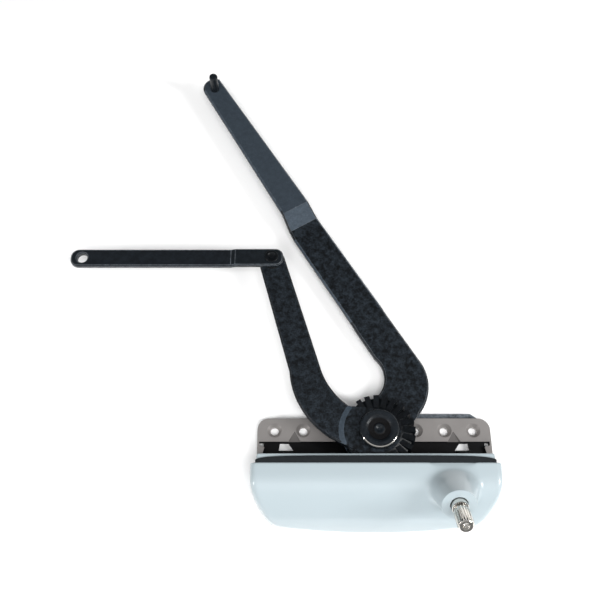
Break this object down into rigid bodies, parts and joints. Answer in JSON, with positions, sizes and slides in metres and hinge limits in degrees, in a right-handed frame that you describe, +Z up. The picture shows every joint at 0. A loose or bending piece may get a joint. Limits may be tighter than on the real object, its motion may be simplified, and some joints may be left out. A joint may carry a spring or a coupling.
{
  "type": "casement window operator",
  "caption": "Crank-driven window operator: painted nose housing with an angled splined stud, a screw flange, and a long arm and a hooked arm with a link on one geared pivot.",
  "frame": {"origin": "middle of the screw row, on the mounting face", "axes": "+X along the sill, +Y outdoors towards the arms, +Z up from the sill"},
  "size_m": [0.2799, 0.349, 0.0551],
  "materials": {
    "grey_plate": "satin grey e-plated steel",
    "white_enamel": "gloss white baked enamel over zinc die casting",
    "foam_rubber": "dark closed-cell foam rubber",
    "cast_zinc": "as-cast zinc alloy",
    "bronze": "sintered bronze",
    "machined_steel": "machined steel",
    "bright_zinc": "bright zinc-plated steel",
    "black_steel": "near-black coated steel, fine grain"
  },
  "bodies": {
    "housing": {"base_plate": "grey_plate", "nose_cover": "white_enamel", "neck_gasket": "foam_rubber", "gear_carrier": "cast_zinc", "worm_bush_left": "bronze", "worm_bush_right": "bronze", "crank_bush": "bronze", "crank_seal": "foam_rubber", "pivot_post": "black_steel", "lower_washer": "machined_steel", "upper_washer": "machined_steel", "cover_screws": "machined_steel", "carrier_screws": "machined_steel"},
    "arms": {"long_arm": "black_steel", "hooked_arm": "black_steel", "arm_spacer": "machined_steel", "arm_pins": "machined_steel", "track_stud": "black_steel", "link_rivet": "black_steel", "link_washer": "machined_steel"},
    "link": {"link_arm": "black_steel"},
    "worm": {"worm_shaft": "machined_steel", "bevel_gear": "machined_steel", "worm_end_clip": "machined_steel"},
    "crank": {"crank_shaft": "bright_zinc", "bevel_pinion": "machined_steel", "crank_washer": "machined_steel"}
  },
  "joints": [
    {"name": "arms_swing", "type": "hinge", "parent": "housing", "child": "arms", "pos_m": [0.0015, -0.0045, 0.017], "axis": [0, 0, 1], "range_deg": [-84, 6]},
    {"name": "link_swing", "type": "hinge", "parent": "arms", "child": "link", "pos_m": [-0.067, 0.116, 0.0235], "axis": [0, 0, 1], "range_deg": [-140, 55]},
    {"name": "worm_turn", "type": "hinge", "parent": "housing", "child": "worm", "pos_m": [0.0015, -0.032, 0.017], "axis": [1, 0, 0], "range_deg": [-150, 2022]},
    {"name": "crank_turn", "type": "hinge", "parent": "housing", "child": "crank", "pos_m": [0.0444, -0.032, 0.017], "axis": [0, -0.7071, 0.7071], "range_deg": [-150, 2022]}
  ],
  "couplings": [
    {"joint": "worm_turn", "follows": "arms_swing", "ratio": -24},
    {"joint": "crank_turn", "follows": "arms_swing", "ratio": -24}
  ]
}
